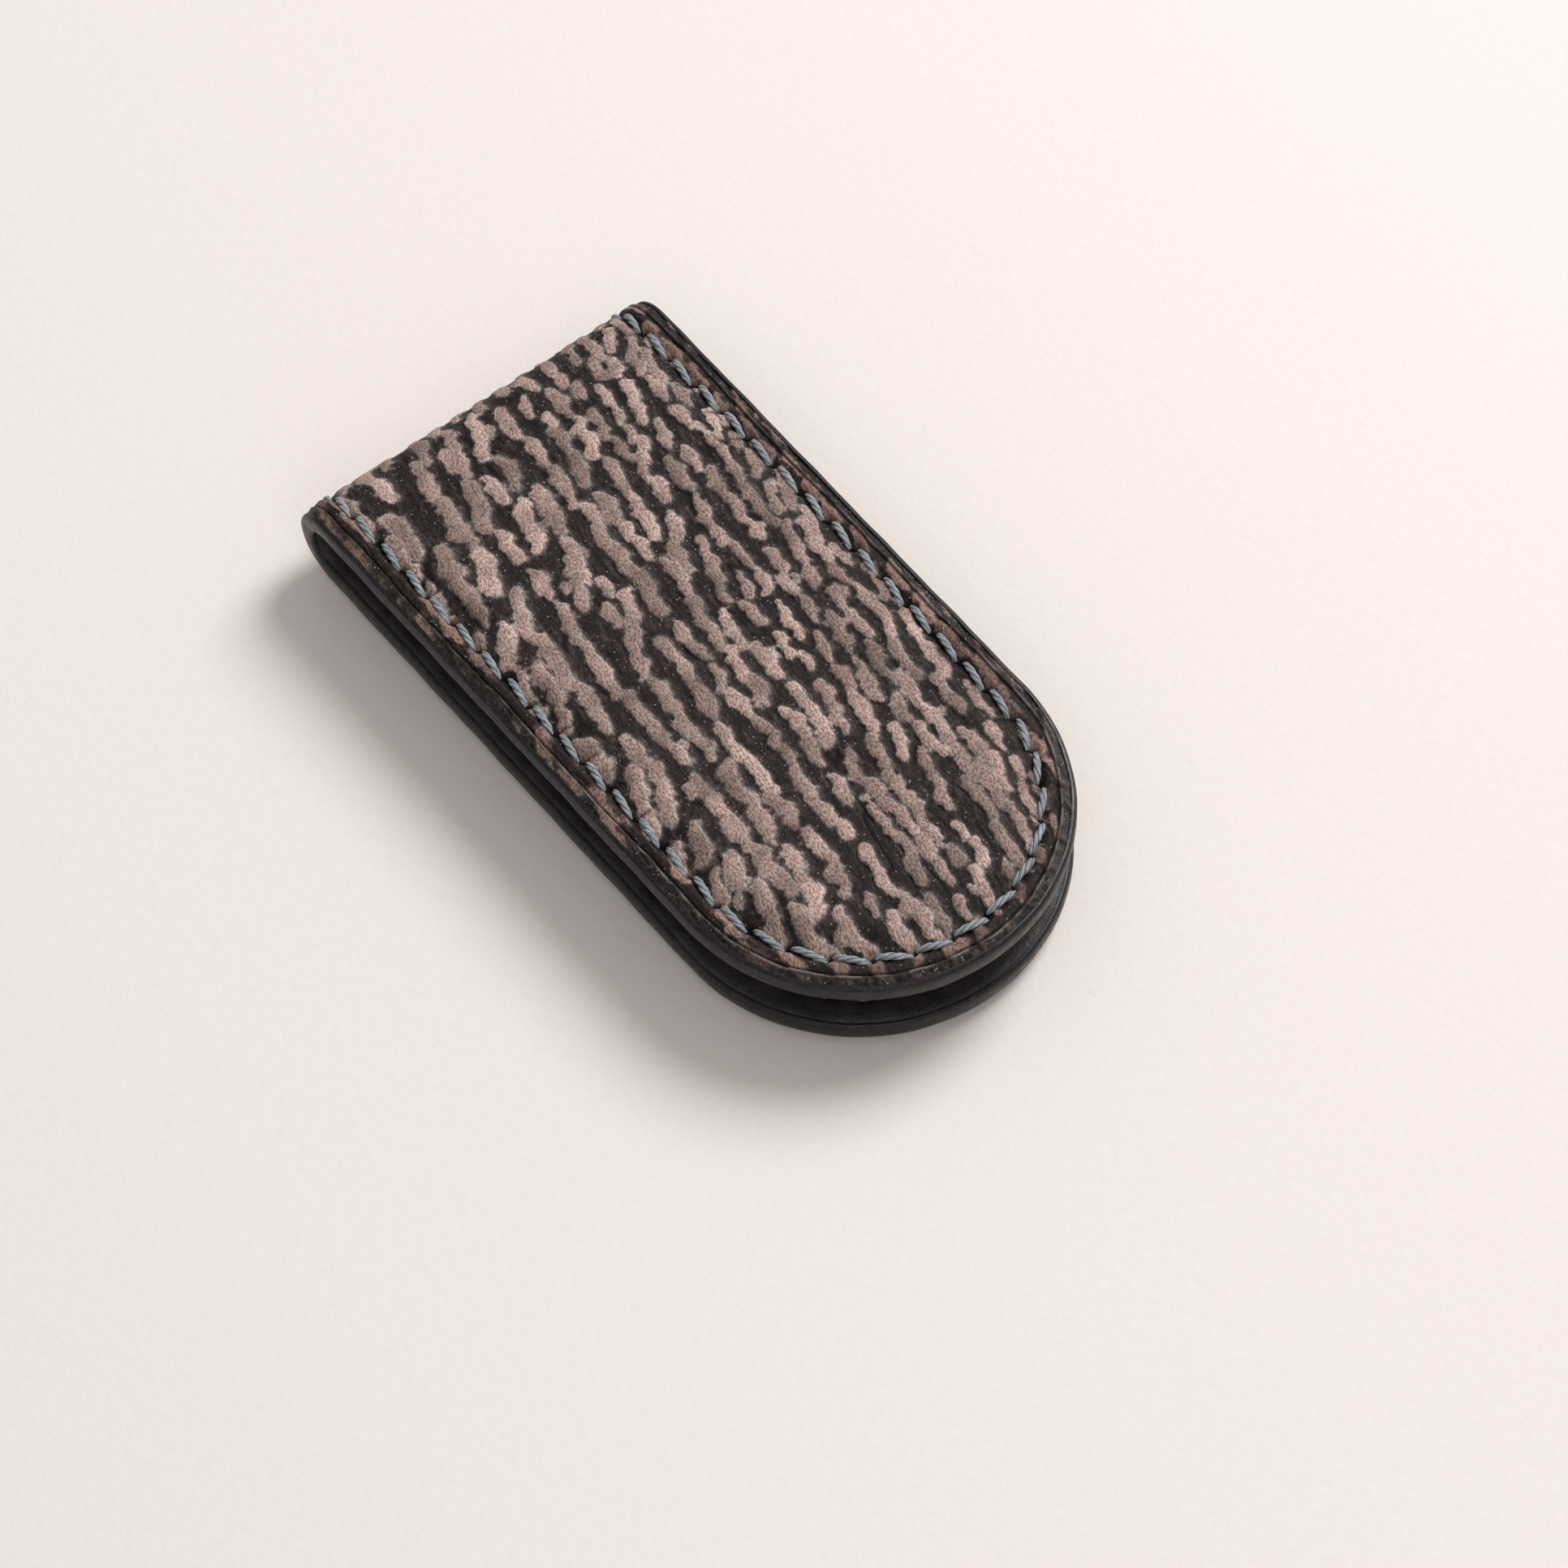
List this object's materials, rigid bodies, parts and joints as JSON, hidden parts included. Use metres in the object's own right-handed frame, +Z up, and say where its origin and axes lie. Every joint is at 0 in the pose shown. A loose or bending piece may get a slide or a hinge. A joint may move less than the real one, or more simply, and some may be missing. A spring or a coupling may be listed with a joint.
{
  "type": "money clip",
  "caption": "Folded leather money clip: two tongue-shaped leaves with magnets inside, stitched round the edge and joined by a flexible fold.",
  "frame": {"origin": "centre of the footprint, at the height of the flat underside", "axes": "+X from the fold to the round tip, +Y across the clip, +Z up from the lower leaf to the upper leaf"},
  "size_m": [0.0795, 0.041, 0.0112],
  "materials": {
    "shark_leather": "matte, raised brown ridges over near-black grooves",
    "lining_leather": "matte smooth",
    "bonded_board": "rough fibrous",
    "nickel_magnet": "bright nickel plate",
    "waxed_thread": "waxed, twisted",
    "edge_paint": "satin"
  },
  "bodies": {
    "lower_leaf": {"edge_paint_lower": "edge_paint", "lining_lower": "lining_leather", "magnet_board_lower": "bonded_board", "magnet_lower_front": "nickel_magnet", "magnet_lower_rear": "nickel_magnet", "shell_lower": "shark_leather", "thread_lower_inside": "waxed_thread", "thread_lower_outside": "waxed_thread"},
    "fold": {"edge_paint_fold_left": "edge_paint", "edge_paint_fold_right": "edge_paint", "lining_fold": "lining_leather", "shell_fold": "shark_leather", "thread_fold_left_inside": "waxed_thread", "thread_fold_left_outside": "waxed_thread", "thread_fold_right_inside": "waxed_thread", "thread_fold_right_outside": "waxed_thread"},
    "upper_leaf": {"edge_paint_upper": "edge_paint", "lining_upper": "lining_leather", "magnet_board_upper": "bonded_board", "magnet_upper_front": "nickel_magnet", "magnet_upper_rear": "nickel_magnet", "shell_upper": "shark_leather", "thread_upper_inside": "waxed_thread", "thread_upper_outside": "waxed_thread"}
  },
  "joints": [
    {"name": "lower_bend", "type": "hinge", "parent": "lower_leaf", "child": "fold", "pos_m": [-0.03782, 0, 0.00293], "axis": [0, -1, 0], "range_deg": [-1.5, 45], "stiffness_Nm_per_rad": 0.6},
    {"name": "upper_bend", "type": "hinge", "parent": "fold", "child": "upper_leaf", "pos_m": [-0.03782, 0, 0.00827], "axis": [0, -1, 0], "range_deg": [-1.5, 45], "stiffness_Nm_per_rad": 0.6}
  ],
  "couplings": [
    {"joint": "upper_bend", "follows": "lower_bend", "ratio": 1}
  ]
}
